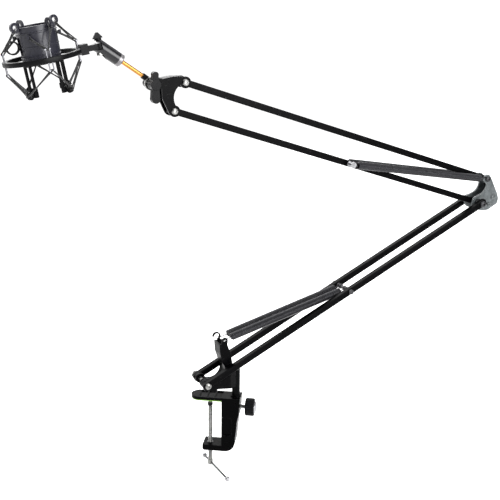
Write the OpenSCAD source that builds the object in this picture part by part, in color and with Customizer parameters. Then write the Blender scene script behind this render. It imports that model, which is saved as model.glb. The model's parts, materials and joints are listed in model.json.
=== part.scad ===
// Desk-clamp boom arm with spring-balanced square tubes and an elastic spider shock mount.
// Origin: on the clamp screw's axis, at the underside of the table pad. +Z is up.
// The arms lie in one upright plane; +X runs from the base towards the elbow.

/* [Table clamp] */
// Turn of the table clamp about the vertical, away from the arms' plane
clamp_yaw = -32; // [-60:1:60]
// Clear height between the table pad and the lower jaw
throat_h = 50.1; // [36:0.1:60]
// Width of the clamp casting
clamp_w = 19; // [16:0.5:26]
// Distance from the clamp screw to the swivel post
post_reach = 27.3; // [24:0.1:34]
// Reach of the top tongue beyond the clamp screw
tongue_reach = 19.8; // [14:0.1:32]
// Outer diameter of the clamp screw
screw_d = 4.4; // [3.6:0.1:5.4]
// Length of the sliding tommy bar, ball centre to ball centre
tommy_l = 56.5; // [40:0.5:70]
// Diameter of the knurled lock knob
lock_knob_d = 18.6; // [14:0.5:22]

/* [Arms] */
// Outside width of the square arm tubes
tube_w = 6.5; // [6:0.1:8]
// Wall thickness of the arm tubes
tube_t = 0.9; // [0.6:0.1:1.4]
// Pivot-to-pivot length of the lower arm
lower_l = 364; // [300:1:420]
// Pivot-to-pivot length of the upper arm
upper_l = 373.4; // [300:0.1:420]
// Rise of the lower arm above the horizontal
lower_rise = 26.3; // [20:0.1:40]
// Rise of the upper arm above the horizontal
upper_rise = 17.8; // [10:0.1:30]
// Half spacing of the lower tubes at the base pivot
base_spread = 13.4; // [13:0.1:18]
// Half spacing of the lower tubes at the elbow pivot
elbow_spread = 13.4; // [12.5:0.1:15]
// Outside width of the pressed steel brackets
bracket_w = 15; // [14:0.5:16]
// Diameter of the pivot bolts
bolt_d = 4; // [3:0.1:4.4]
// Outer diameter of the balance springs
spring_d = 8; // [6:0.1:8.4]

/* [Tilt head] */
// Distance from the tilt pivot to the shock mount's swivel
tilt_l = 56.4; // [52:0.1:70]
// Rise of the tilt rod above the horizontal
tilt_rise = 34; // [20:1:50]
// Diameter of the brass rod
rod_d = 3.8; // [3.4:0.1:5]
// Diameter of the black barrel
barrel_d = 12.4; // [10:0.1:14]

/* [Shock mount] */
// Outside diameter of the suspension ring
ring_d = 68; // [66:1:80]
// Height of the suspension ring
ring_h = 4.2; // [3:0.1:6]
// Tilt of the shock mount, left side down
mount_tilt = 10.5; // [0:0.5:25]
// Reach from the ring's centre to the swivel
mount_reach = 51.4; // [48:0.1:56]
// Clear diameter of the microphone clip
mic_d = 22; // [20:0.5:22]
// Diameter of the elastic cord
elastic_d = 1.9; // [1.2:0.1:2.4]

/* [Hidden] */
$fn = 48;

fit = 0.05;           // radial running clearance of every pivot
seat = 0.02;          // radial clearance of parts fixed to each other
pad_t = 1.3;
tongue_t = 3;
tongue_top = pad_t + tongue_t;
spine_in = 13.4;
spine_out = post_reach + 5.6;
spine_foot = spine_out - 5.1;
jaw_left = -6.8;
jaw_top = -throat_h;
jaw_bottom = jaw_top - 6.2;
jaw_corner = 11;
post_d = 5.2;
bush_d = 6.8;
socket_top = tongue_top + 1.2;
socket_floor = -12.4;
screw_top = -5.4;
screw_pad_h = 3;
screw_end = -76.8;
tommy_z = -74;
tommy_d = 2;
tommy_far = 14.5;
tommy_angle = -55;
lock_z = -7.6;
lock_d = 4;
knob_in = post_reach + 10.2;
knob_l = 9.8;
knob_edge = 1.6;
cap_r = 7.2;
cap_dome = 2.4;

sleeve_d = 8.4;
cheek_t = 2;
cheek_out = bracket_w / 2;
cheek_in = cheek_out - cheek_t;
lift_dir = [cos(lower_rise), sin(lower_rise)];
reach_dir = [-cos(upper_rise), sin(upper_rise)];
base_pivot = [-37.7, 28.1];
elbow_pivot = base_pivot + lower_l * lift_dir;
link = [10.9, 25.9];                       // offset between the upper arm's two bars
elbow_top = elbow_pivot + link;
head_low = elbow_pivot + upper_l * reach_dir;
head_top = head_low + link;
tilt_pivot = head_top + [-32.4, -0.6];
tilt_dir = [-cos(tilt_rise), sin(tilt_rise)];
rod_lift = 2.2;                            // the rod's axis passes this far above the tilt pivot
swivel = tilt_pivot + tilt_l * tilt_dir + rod_lift * [sin(tilt_rise), cos(tilt_rise)];
mount_centre = swivel - mount_reach * [cos(mount_tilt), sin(mount_tilt)];
tube_over_base = 4;
tube_over_elbow = 4;
hook_at = [-15.6, 70.5];
cable_at = [-19.5, 71.3];
web_at = [-26.8, 38.6];                     // centre of the bracket's concave edge
web_r = 11.4;
web_t = 1.8;
cheek_top = 67;
anchor_s = 180.5;                          // lower cross pin, along the arm from its pivot
anchor_at = base_pivot + anchor_s * lift_dir;
anchor_in = 5.6;
spring_base_y = cheek_in - 0.7;
spring_pin_s = 173;                        // upper spring pin, along the bottom bar
spring_pin_at = elbow_pivot + spring_pin_s * reach_dir;
spring_pin_y = 9.6;
spring_elbow_y = 8.3;

ring_in = ring_d / 2 - 4;
shell_top = 28;
shell_r = 16.2;
shell_flare = 1.2;
shell_in = 15.4;
jaw_out = 13.2;
jaw_in = 12;
leg_drop = 29.5;
leg_r = 20.6;
loop_turn = 25;
loop_z = shell_top + 0.8;
tab_turn = -32;
leg_turn = 35;
loop_r = 20.6;
hook_h = 8.5;
jaw_pin_x = -14.1;
handle_r = 5.2;
wire_d = 1.3;

// ---------- frames and helpers ----------

// children in the clamp's own frame, turned about the clamp screw
module in_clamp() {
    rotate([0, 0, clamp_yaw]) children();
}

// children in the arms' frame: x and y from the swivel post, z as in the whole part
module in_arm() {
    translate([post_reach * cos(clamp_yaw), post_reach * sin(clamp_yaw), 0]) children();
}

// children in the shock mount's frame: origin at the ring's centre, z along the ring's axis
module in_mount() {
    in_arm() translate([mount_centre[0], 0, mount_centre[1]]) rotate([0, -mount_tilt, 0]) children();
}

// children in the tilt pivot's frame: origin at the pivot, x parallel to the rod
module in_tilt() {
    in_arm() translate([tilt_pivot[0], 0, tilt_pivot[1]]) rotate([0, tilt_rise - 180, 0]) children();
}

// children in the rod's frame: z along its axis, from the foot of the pivot
module in_rod() {
    in_tilt() translate([0, 0, -rod_lift]) rotate([0, 90, 0]) children();
}

// a 2D outline drawn in x and z, made into a plate from y0 to y1
module plate(y0, y1) {
    translate([0, y1, 0]) rotate([90, 0, 0]) linear_extrude(y1 - y0) children();
}

// a rod along y through the point p of the arms' plane
module cross(p, r, y0, y1) {
    translate([p[0], y1, p[1]]) rotate([90, 0, 0]) cylinder(r = r, h = y1 - y0);
}

// a washer or bush along y, as outer radius, inner radius
module cross_tube(p, ro, ri, y0, y1) {
    difference() {
        cross(p, ro, y0, y1);
        cross(p, ri, y0 - 1, y1 + 1);
    }
}

// a cylinder from point a to point b
module rod(a, b, r) {
    v = b - a;
    translate(a)
        rotate([0, acos(v[2] / norm(v)), atan2(v[1], v[0])])
            cylinder(r = r, h = norm(v));
}

module both_sides() {
    children();
    mirror([0, 1, 0]) children();
}

module rounded_square(w, r) {
    square([w, w - 2 * r], center = true);
    square([w - 2 * r, w], center = true);
    for (sx = [-1, 1], sy = [-1, 1])
        translate([sx * (w / 2 - r), sy * (w / 2 - r)]) circle(r = r, $fn = 20);
}

// square tube from a to b, kept upright
module square_tube(a, b) {
    v = b - a;
    translate(a)
        rotate([0, -asin(v[2] / norm(v)), atan2(v[1], v[0])])
            rotate([90, 0, 90])
                linear_extrude(norm(v))
                    difference() {
                        rounded_square(tube_w, 0.9);
                        rounded_square(tube_w - 2 * tube_t, 0.5);
                    }
}

// plastic plug that closes a square tube's end at a, with its tube running towards b
module tube_plug(a, b) {
    v = b - a;
    translate(a)
        rotate([0, -asin(v[2] / norm(v)), atan2(v[1], v[0])])
            rotate([90, 0, 90]) {
                translate([0, 0, -1]) linear_extrude(1) rounded_square(tube_w, 0.9);
                linear_extrude(0.8) rounded_square(tube_w - 2 * tube_t - 2 * seat, 0.5);
            }
}

// domed bolt head with a hexagon socket, seated at z = 0 and rising along +z
module bolt_head(r, h) {
    difference() {
        rotate_extrude()
            polygon([[0, 0], [r, 0], [r, h * 0.35], [r * 0.86, h * 0.74], [r * 0.55, h], [0, h]]);
        translate([0, 0, h * 0.45]) cylinder(r = r * 0.45, h = h, $fn = 6);
    }
}

module hex_nut(r, h, bore) {
    difference() {
        cylinder(r = r, h = h, $fn = 6);
        translate([0, 0, -1]) cylinder(r = bore, h = h + 2);
    }
}

// bolt along y: head towards -y at y0, plain end at y1
module cross_bolt(p, y0, y1, head_r = 3.3, head_h = 2.2) {
    cross(p, bolt_d / 2, y0 - 0.1, y1);
    translate([p[0], y0, p[1]]) rotate([90, 0, 0]) bolt_head(head_r, head_h);
}

module cross_nut(p, y0, h = 2.8, r = 3.7) {
    translate([p[0], y0 + h, p[1]]) rotate([90, 0, 0]) hex_nut(r, h, bolt_d / 2 + seat);
}

// point of the lower arm at distance s from its pivot, on side sgn
function spread_at(s) = base_spread + (elbow_spread - base_spread) * s / lower_l;
function lower_point(s, sgn) = [
    base_pivot[0] + s * lift_dir[0],
    sgn * spread_at(s),
    base_pivot[1] + s * lift_dir[1]
];
function at(p, y = 0) = [p[0], y, p[1]];

// ---------- table clamp ----------

module tongue_plan(inset = 0) {
    r = clamp_w / 2 - inset;
    translate([-tongue_reach + clamp_w / 2, 0]) circle(r = r);
    translate([-tongue_reach + clamp_w / 2, -r]) square([tongue_reach - clamp_w / 2 + spine_in, 2 * r]);
}

module spine_profile() {
    corner = [spine_foot - jaw_corner, jaw_bottom + jaw_corner];
    polygon([
        [spine_in, tongue_top], [spine_out, tongue_top], [spine_out - 0.6, -5], [spine_out - 1, socket_floor - 1],
        [spine_out - 2.8, -21], [spine_foot, corner[1]], [corner[0], corner[1]], [corner[0], jaw_bottom],
        [spine_in, jaw_bottom]
    ]);
    intersection() {
        translate(corner) circle(r = jaw_corner);
        translate([corner[0] - 0.01, jaw_bottom]) square(jaw_corner + 0.01);
    }
    translate([jaw_left + 2, jaw_bottom]) square([corner[0] - jaw_left - 2, jaw_top - jaw_bottom]);
    translate([jaw_left, jaw_bottom + 2]) square([4, jaw_top - jaw_bottom - 2]);
    translate([jaw_left + 2, jaw_bottom + 2]) circle(r = 2);
}

module tongue_pocket(x0, x1) {
    translate([x0, -clamp_w / 2 + 2, tongue_top - 1.1]) cube([x1 - x0, clamp_w - 4, 2]);
}

module clamp_body() {
    color([0.07, 0.07, 0.08])
        in_clamp()
            difference() {
                union() {
                    plate(-clamp_w / 2, clamp_w / 2) spine_profile();
                    translate([0, 0, pad_t]) linear_extrude(tongue_t) tongue_plan();
                    translate([post_reach, 0, tongue_top - 1]) cylinder(r = 5.8, h = socket_top - tongue_top + 1);
                }
                translate([post_reach, 0, socket_floor]) cylinder(r = bush_d / 2 + seat, h = 60);
                translate([post_reach, 0, lock_z]) rotate([0, 90, 0]) cylinder(r = lock_d / 2 + fit, h = 20);
                translate([0, 0, jaw_bottom - 1]) cylinder(r = 3.6, h = 20);
                tongue_pocket(-10, -3.2);
                tongue_pocket(-1.8, 5.2);
                tongue_pocket(6.6, 13.6);
                for (s = [-1, 1])
                    translate([14.2, s * (clamp_w / 2 - 0.5) - 1, -38]) cube([9.6, 2, 20]);
            }
}

module table_pad() {
    color([0.42, 0.55, 0.2])
        in_clamp() linear_extrude(pad_t) tongue_plan(0.25);
}

module threaded_insert() {
    color([0.75, 0.6, 0.3])
        in_clamp()
            translate([0, 0, jaw_bottom + 0.4])
                difference() {
                    cylinder(r = 3.6 - seat, h = jaw_top - jaw_bottom - 0.8);
                    translate([0, 0, -1]) cylinder(r = screw_d / 2 + fit, h = 30);
                }
}

module socket_bush() {
    color([0.85, 0.85, 0.8])
        in_clamp()
            difference() {
                translate([post_reach, 0, socket_floor + 0.1])
                    cylinder(r = bush_d / 2, h = socket_top - socket_floor - 0.1);
                translate([post_reach, 0, socket_floor - 1]) cylinder(r = post_d / 2 + fit, h = 60);
                translate([post_reach, 0, lock_z]) rotate([0, 90, 0]) cylinder(r = lock_d / 2 + fit, h = 20);
            }
}

module screw_pad() {
    color([0.12, 0.12, 0.12])
        translate([0, 0, screw_top - screw_pad_h])
            difference() {
                rotate_extrude()
                    polygon([[0, 0], [2.2, 0], [2.8, 0.7], [2.8, screw_pad_h], [0, screw_pad_h]]);
                translate([0, 0, -0.01]) cylinder(r = 1.5 + fit, h = 1.8);
            }
}

module clamp_screw() {
    neck = screw_top - screw_pad_h;
    color([0.72, 0.72, 0.7])
        difference() {
            union() {
                translate([0, 0, neck - 0.05]) mirror([0, 0, 1]) cylinder(r = screw_d / 2, h = neck - tommy_z);
                translate([0, 0, neck - 0.1]) cylinder(r = 1.5, h = 1.7);
                translate([0, 0, screw_end]) cylinder(r = 2.9, h = 2 * (tommy_z - screw_end));
            }
            in_clamp() rotate([0, 0, tommy_angle])
                translate([-10, 0, tommy_z]) rotate([0, 90, 0]) cylinder(r = tommy_d / 2 + fit, h = 20);
        }
}

module in_tommy() {
    in_clamp() rotate([0, 0, tommy_angle]) translate([0, 0, tommy_z]) rotate([0, 90, 0]) children();
}

module tommy_bar() {
    color([0.25, 0.25, 0.26])
        in_tommy() translate([0, 0, -tommy_far]) cylinder(r = tommy_d / 2, h = tommy_l);
}

module tommy_bar_balls() {
    color([0.85, 0.85, 0.85])
        in_tommy()
            for (x = [-tommy_far, tommy_l - tommy_far])
                translate([0, 0, x])
                    difference() {
                        sphere(r = 2.6);
                        translate([0, 0, x < 0 ? -0.5 : -5.5])
                            cylinder(r = tommy_d / 2 + seat, h = 6);
                    }
}

module in_lock() {
    in_clamp() translate([post_reach, 0, lock_z]) rotate([0, 90, 0]) children();
}

module lock_screw() {
    color([0.55, 0.55, 0.52])
        in_lock()
            translate([0, 0, post_d / 2 + 0.08]) cylinder(r = lock_d / 2, h = knob_in - post_reach + 4);
}

module knob_profile() {
    r = lock_knob_d / 2;
    square([r - knob_edge, knob_l]);
    translate([0, knob_edge]) square([r, knob_l - 2 * knob_edge]);
    for (z = [knob_edge, knob_l - knob_edge]) translate([r - knob_edge, z]) circle(r = knob_edge, $fn = 24);
}

module lock_knob() {
    flutes = 22;
    color([0.1, 0.1, 0.11])
        in_lock()
            translate([0, 0, knob_in - post_reach])
                difference() {
                    rotate_extrude() knob_profile();
                    translate([0, 0, -1]) cylinder(r = lock_d / 2 + seat, h = 8.1);
                    translate([0, 0, knob_l - 1]) cylinder(r = cap_r + 0.1, h = 2);
                    for (k = [0 : flutes - 1])
                        rotate([0, 0, k * 360 / flutes])
                            translate([lock_knob_d / 2 + 0.35, 0, 0]) cylinder(r = 1, h = knob_l + 1, $fn = 16);
                }
}

module lock_knob_cap() {
    dome_r = (cap_r * cap_r + cap_dome * cap_dome) / (2 * cap_dome);
    color([0.8, 0.8, 0.82])
        in_lock()
            translate([0, 0, knob_in - post_reach + knob_l - 1])
                intersection() {
                    cylinder(r = cap_r, h = 1.2 + cap_dome);
                    translate([0, 0, 1.2 + cap_dome - dome_r]) sphere(r = dome_r, $fn = 96);
                }
}

// ---------- base bracket ----------

module base_cheek() {
    difference() {
        polygon([
            [-21.8, cheek_top], [-20.9, 56], [-16.9, 43], [-30, 33], [-38, 32.4], [-40.9, 24.3],
            [-31, 17.8], [-27.6, 15.6], [-25.2, 15.8], [-23.6, 18.6], [-8, 16.6], [-2, 16.6],
            [-2, 34], [-6, 39.4], [-9.4, 56], [-12.6, 64.5], [-13.2, cheek_top]
        ]);
        translate(web_at) circle(r = web_r);
    }
    translate(base_pivot) circle(r = 5);
}

// eye for the front spring, on top of the front cheek
module front_eye() {
    polygon([[-19.6, cheek_top - 0.1], [-12.8, cheek_top - 0.1], hook_at + [2.9, 0], hook_at + [-2.9, 0]]);
    translate(hook_at) circle(r = 2.9);
}

module hook_ring() {
    difference() {
        translate(cable_at) circle(r = 4.4);
        translate(cable_at) circle(r = 2.95);
        translate(cable_at - [6, 8.4]) square([7, 8.2]);
        translate([cable_at[0] - 6, cheek_top - 4]) square([12, 4]);
    }
    translate([cable_at[0] + 1, cheek_top]) square([3.2, 1.6]);
}

// curled cable hook on the back cheek's top edge; the back spring hangs on it
module cable_hook() {
    color([0.06, 0.06, 0.07])
        in_arm() plate(cheek_in, cheek_out) hook_ring();
}

module base_web() {
    intersection() {
        base_cheek();
        union() {
            intersection() {
                translate([-33, 24]) square([20, 21]);
                translate(web_at) circle(r = web_r + web_t);
            }
            polygon([[-22, cheek_top], [-21.1, 56], [-17.1, 43], [-15, 43], [-19, 56], [-20, cheek_top]]);
        }
    }
}

// plan of the plates that run from the cheeks to the post sleeve
module wrap_plan() {
    polygon([[-14, cheek_in], [-10, cheek_in], [-3.2, 2.7], [0, 2.7], [0, 4.2], [-2.4, 4.1], [-9.2, cheek_out],
        [-14, cheek_out]]);
}

module base_bracket() {
    color([0.06, 0.06, 0.07])
        in_arm()
            difference() {
                union() {
                    both_sides()
                        plate(cheek_in, cheek_out)
                            intersection() {
                                base_cheek();
                                translate([-60, 0]) square([49, 100]);
                            }
                    plate(-cheek_out, -cheek_in) front_eye();
                    plate(-cheek_in - 0.01, cheek_in + 0.01) base_web();
                    intersection() {
                        union() {
                            both_sides() translate([0, 0, 10]) linear_extrude(80) wrap_plan();
                        }
                        plate(-10, 10) base_cheek();
                    }
                    translate([0, 0, socket_top + 0.3]) cylinder(r = sleeve_d / 2, h = 34 - socket_top);
                }
                translate([0, 0, -1]) cylinder(r = post_d / 2 + seat, h = 34);
                cross(base_pivot, bolt_d / 2 + fit, -20, 20);
                cross(hook_at, 1.3, -20, 0);
            }
}

module pivot_post() {
    color([0.6, 0.6, 0.62])
        in_arm()
            translate([0, 0, socket_floor + 0.3]) cylinder(r = post_d / 2, h = 32.6 - socket_floor);
}

module base_pivot_bolt() {
    color([0.75, 0.75, 0.72])
        in_arm() cross_bolt(base_pivot, -base_spread - tube_w / 2 - 0.4, base_spread + tube_w / 2 + 3.6, 3.2, 2);
}

module base_pivot_nut() {
    color([0.75, 0.75, 0.72])
        in_arm() cross_nut(base_pivot, base_spread + tube_w / 2 + 0.4);
}

module base_spacers() {
    face = base_spread - tube_w / 2;
    color([0.3, 0.3, 0.3])
        in_arm() both_sides() {
            cross_tube(base_pivot, 4.4, bolt_d / 2 + seat, cheek_out + 0.1, cheek_out + 1.3);
            cross_tube(base_pivot, 3.6, bolt_d / 2 + seat, cheek_out + 1.3, face - 0.3);
        }
}

// ---------- lower arm ----------

module lower_tube() {
    difference() {
        square_tube(lower_point(-tube_over_base, -1), lower_point(lower_l + tube_over_elbow, -1));
        cross(base_pivot, bolt_d / 2 + seat, -40, 40);
        cross(anchor_at, 1.8 + seat, -40, 40);
        cross(elbow_pivot, bolt_d / 2 + fit, -40, 40);
    }
}

module lower_tube_front() {
    color([0.06, 0.06, 0.07]) in_arm() lower_tube();
}

module lower_tube_back() {
    color([0.06, 0.06, 0.07]) in_arm() mirror([0, 1, 0]) lower_tube();
}

module lower_tube_plugs() {
    color([0.1, 0.1, 0.1])
        in_arm() for (sgn = [-1, 1]) {
            tube_plug(lower_point(-tube_over_base, sgn), lower_point(0, sgn));
            tube_plug(lower_point(lower_l + tube_over_elbow, sgn), lower_point(lower_l, sgn));
        }
}

module spring_anchor_pin() {
    half = spread_at(anchor_s) + tube_w / 2 + 0.5;
    color([0.7, 0.7, 0.68])
        in_arm()
            difference() {
                union() {
                    cross(anchor_at, 1.8, -half, half);
                    both_sides() cross(anchor_at, 2.6, -half - 1.2, -half);
                    both_sides() cross(anchor_at, 2.6, anchor_in - 2.6, anchor_in - 1.6);
                    both_sides() cross(anchor_at, 2.6, anchor_in + 1.6, anchor_in + 2.6);
                }
            }
}

// coil envelope of a tension spring from a towards b, with the wire that joins it to a
module spring_coil(a, b, lead_a, lead_b) {
    u = (b - a) / norm(b - a);
    rod(a + u * lead_a, b - u * lead_b, spring_d / 2);
    rod(a, a + u * (lead_a + 0.5), 0.6);
}

// hook wire that joins the coil's far end to b
module spring_hook(a, b, lead_b) {
    u = (b - a) / norm(b - a);
    rod(b - u * (lead_b - 0.05), b, 0.6);
}

lower_u = (anchor_at - hook_at) / norm(anchor_at - hook_at);
lower_a = hook_at + 4.2 * lower_u;
lower_b = anchor_at - 2.7 * lower_u;

module lower_springs() {
    color([0.16, 0.16, 0.17])
        in_arm() for (s = [-1, 1])
            spring_coil(at(lower_a, s * spring_base_y), at(lower_b, s * anchor_in), 3.4, 4);
}

module lower_spring_hooks() {
    color([0.6, 0.6, 0.6])
        in_arm() for (s = [-1, 1])
            spring_hook(at(lower_a, s * spring_base_y), at(lower_b, s * anchor_in), 4);
}

// ---------- elbow ----------

module elbow_cheek() {
    translate(elbow_pivot) {
        difference() {
            polygon([
                link + [-4.4, 2], link + [0, 4.6], link + [5, 1.4], [26, 9], [28.4, 2.5], [27, -3],
                [15, -9.4], [8, -9.8], [0, -8.2], [-5, -6], [-7, -1.5], [-6, 4], [0, 8]
            ]);
            translate([-1.6, 20.6]) circle(r = 12.4);
        }
        translate(link) circle(r = 4.8);
        circle(r = 7.6);
    }
}

module elbow_spine_plan() {
    translate(elbow_pivot)
        polygon([[18.6, 23.4], [26.8, 9.2], [28.4, 2.5], [27, -3], [24.8, -3], [26.2, 2.4],
            [24.8, 8.4], [17.2, 21.6]]);
}

module elbow_bracket() {
    color([0.2, 0.22, 0.22])
        in_arm()
            difference() {
                union() {
                    both_sides() plate(cheek_in, cheek_out) elbow_cheek();
                    plate(-cheek_in - 0.01, cheek_in + 0.01) intersection() {
                        elbow_spine_plan();
                        elbow_cheek();
                    }
                }
                cross(elbow_pivot, bolt_d / 2 + seat, -20, 20);
                cross(elbow_top, bolt_d / 2 + seat, -20, 20);
                for (p = rivet_points) cross(p, 1.6 + seat, -20, 20);
            }
}

rivet_points = [elbow_pivot + [16, -3.4], elbow_pivot + [20.4, 4.6]];
bolt_end = elbow_spread + tube_w / 2;

module elbow_bolts() {
    color([0.75, 0.75, 0.72])
        in_arm() {
            cross_bolt(elbow_pivot, -bolt_end - 0.4, bolt_end + 3.6, 3.4, 2.2);
            cross_bolt(elbow_top, -spring_elbow_y - 0.8, spring_elbow_y + 3.6, 3, 1.6);
        }
}

module elbow_nuts() {
    color([0.75, 0.75, 0.72])
        in_arm() {
            cross_nut(elbow_pivot, bolt_end + 0.4);
            cross_nut(elbow_top, spring_elbow_y + 0.8, 2.4, 3.4);
        }
}

module elbow_spacers() {
    half = tube_w / 2;
    color([0.35, 0.35, 0.35])
        in_arm() both_sides() {
            cross_tube(elbow_pivot, 4, bolt_d / 2 + seat, half + 0.3, cheek_in - 0.05);
            cross_tube(elbow_top, 3.4, bolt_d / 2 + seat, half + 0.3, cheek_in - 0.05);
            cross_tube(elbow_pivot, 4.4, bolt_d / 2 + seat, cheek_out + 0.05, elbow_spread - half - 0.3);
        }
}

module elbow_rivets() {
    color([0.4, 0.42, 0.42])
        in_arm() for (p = rivet_points) {
            cross(p, 1.6, -cheek_out - 0.1, cheek_out + 0.1);
            both_sides() translate([p[0], cheek_out + 0.05, p[1]]) rotate([-90, 0, 0]) bolt_head(2.7, 1.5);
            cross(p, 2.6, -cheek_in + 0.05, cheek_in - 0.05);
        }
}

// ---------- upper arm ----------

module upper_tube(near, far, over_far) {
    difference() {
        square_tube(at(near - 5 * reach_dir), at(far + over_far * reach_dir));
        cross(near, bolt_d / 2 + fit, -10, 10);
        cross(far, bolt_d / 2 + fit, -10, 10);
    }
}

module upper_tube_top() {
    color([0.06, 0.06, 0.07]) in_arm() upper_tube(elbow_top, head_top, 3);
}

module upper_tube_bottom() {
    color([0.06, 0.06, 0.07])
        in_arm()
            difference() {
                upper_tube(elbow_pivot, head_low, 3);
                cross(spring_pin_at, 1.5 + seat, -10, 10);
            }
}

module upper_plugs(near, far, over_far) {
    tube_plug(at(near - 5 * reach_dir), at(near));
    tube_plug(at(far + over_far * reach_dir), at(far));
}

module top_tube_plugs() {
    color([0.1, 0.1, 0.1]) in_arm() upper_plugs(elbow_top, head_top, 3);
}

module bottom_tube_plugs() {
    color([0.1, 0.1, 0.1]) in_arm() upper_plugs(elbow_pivot, head_low, 3);
}

module upper_spring_pin() {
    color([0.85, 0.85, 0.83])
        in_arm() {
            cross(spring_pin_at, 1.5, -spring_pin_y - 1.6, spring_pin_y + 1.6);
            both_sides() cross(spring_pin_at, 3.2, spring_pin_y + 1.4, spring_pin_y + 2.6);
            both_sides() cross(spring_pin_at, 3, tube_w / 2 + 0.05, tube_w / 2 + 1.2);
        }
}

upper_u = (spring_pin_at - elbow_top) / norm(spring_pin_at - elbow_top);
upper_a = elbow_top + 2.7 * upper_u;
upper_b = spring_pin_at - 2.2 * upper_u;

module upper_springs() {
    color([0.2, 0.2, 0.21])
        in_arm() for (s = [-1, 1])
            spring_coil(at(upper_a, s * spring_elbow_y), at(upper_b, s * spring_pin_y), 7.4, 4);
}

module upper_spring_hooks() {
    color([0.6, 0.6, 0.6])
        in_arm() for (s = [-1, 1])
            spring_hook(at(upper_a, s * spring_elbow_y), at(upper_b, s * spring_pin_y), 4);
}

// ---------- tilt head ----------

module head_cheek() {
    difference() {
        polygon([
            tilt_pivot + [-1, 4.2], tilt_pivot + [11, 4.4], head_top + [-12, 5.6], head_top + [0, 5.2],
            head_top + [4.6, -3], head_low + [5, 3], head_low + [3, -5], head_low + [-5, -2.6],
            tilt_pivot + [10, -14], tilt_pivot + [9.6, -5], tilt_pivot + [-1, -4.2]
        ]);
        translate(head_low + [13.4, 12]) circle(r = 14);
    }
    translate(head_top) circle(r = 5.4);
    translate(head_low) circle(r = 5.4);
    translate(tilt_pivot) circle(r = 4.2);
}

module head_flange() {
    polygon([
        tilt_pivot + [11, 4.4], head_top + [-12, 5.6], head_top + [-6.5, 5.4], head_top + [-6.5, 3.8],
        head_top + [-12, 4], tilt_pivot + [11, 2.8]
    ]);
}

module head_bracket() {
    color([0.05, 0.05, 0.05])
        in_arm()
            difference() {
                union() {
                    both_sides() plate(cheek_in, cheek_out) head_cheek();
                    plate(-cheek_in - 0.01, cheek_in + 0.01) head_flange();
                }
                cross(head_top, bolt_d / 2 + seat, -20, 20);
                cross(head_low, bolt_d / 2 + seat, -20, 20);
                cross(tilt_pivot, bolt_d / 2 + fit, -20, 20);
            }
}

module head_bolts() {
    color([0.85, 0.85, 0.85])
        in_arm() for (p = [head_top, head_low]) cross_bolt(p, -cheek_out, cheek_out + 3.4, 3.3, 2.2);
}

module head_nuts() {
    color([0.8, 0.8, 0.8])
        in_arm() for (p = [head_top, head_low]) cross_nut(p, cheek_out + 0.1);
}

module knob_wing() {
    polygon([[-2.5, 9], [2.5, 9], [3, 0], [3.9, -12.6], [-3.9, -12.6], [-3, 0]]);
    translate([0, 9]) circle(r = 2.7);
    translate([0, -12.6]) circle(r = 4);
}

module tilt_knob() {
    color([0.05, 0.05, 0.05])
        in_arm()
            translate([tilt_pivot[0], -cheek_out - 0.3, tilt_pivot[1]])
                rotate([90, 0, 0])
                    difference() {
                        union() {
                            cylinder(r = 4.8, h = 11.8);
                            translate([0, 0, 5]) linear_extrude(6.4) knob_wing();
                        }
                        translate([0, 0, -1]) cylinder(r = bolt_d / 2 + seat, h = 9.1);
                    }
}

module tilt_bolt() {
    color([0.7, 0.7, 0.7])
        in_arm() {
            cross(tilt_pivot, bolt_d / 2, -cheek_out - 8, cheek_out + 0.6);
            translate([tilt_pivot[0], cheek_out + 0.5, tilt_pivot[1]]) rotate([-90, 0, 0]) bolt_head(3.5, 2.2);
        }
}

// serrated friction disc
module tilt_disc() {
    teeth = 24;
    color([0.72, 0.73, 0.74])
        in_arm()
            translate([tilt_pivot[0], -cheek_in + 0.2, tilt_pivot[1]])
                rotate([-90, 0, 0])
                    difference() {
                        cylinder(r = 6, h = 2.2);
                        translate([0, 0, -1]) cylinder(r = bolt_d / 2 + fit, h = 9);
                        for (k = [0 : teeth - 1])
                            rotate([0, 0, k * 360 / teeth])
                                translate([6.2, 0, -1]) cylinder(r = 0.45, h = 5, $fn = 16);
                    }
}

module tilt_lug() {
    thick = 2 * cheek_in - 2.8;
    color([0.08, 0.08, 0.09])
        in_tilt()
            difference() {
                union() {
                    translate([0, 2.5 - cheek_in, 0])
                        rotate([-90, 0, 0]) cylinder(r = 4.6, h = thick);
                    translate([0, 0, -rod_lift]) rotate([0, 90, 0]) cylinder(r = 2.7, h = 9.5);
                }
                translate([0, 20, 0]) rotate([90, 0, 0]) cylinder(r = bolt_d / 2 + fit, h = 40);
            }
}

module tilt_rod() {
    color([0.85, 0.58, 0.15])
        in_rod() translate([0, 0, 9.5]) cylinder(r = rod_d / 2, h = 27);
}

barrel_start = 32.5;
barrel_end = tilt_l + 4;
eye_h = 5;

fork_gap = eye_h / 2 + 0.3;
fork_t = 2.4;

// room in the barrel for the shock mount's eye over its whole swing
module eye_slot() {
    translate([mount_reach, 0, -fork_gap]) cylinder(r = 5.15, h = 2 * fork_gap);
    translate([mount_reach - 28.5, -10, -fork_gap]) cube([30, 20, 2 * fork_gap]);
}

// the barrel's end is slotted for the eye and faced flat above and below the slot
module barrel() {
    color([0.06, 0.06, 0.06])
        difference() {
            in_rod() translate([0, 0, barrel_start + 4])
                cylinder(r = barrel_d / 2, h = barrel_end - barrel_start - 4);
            in_rod() translate([0, 0, barrel_start]) cylinder(r = rod_d / 2 + fit, h = 9);
            in_mount() {
                eye_slot();
                translate([mount_reach, 0, -20]) cylinder(r = 1.9 + fit, h = 40);
                translate([mount_reach, 0, -fork_gap - fork_t - 9]) cylinder(r = 4.1, h = 9);
                translate([mount_reach, 0, fork_gap + fork_t]) cylinder(r = 5.4, h = 12);
            }
        }
}

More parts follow.
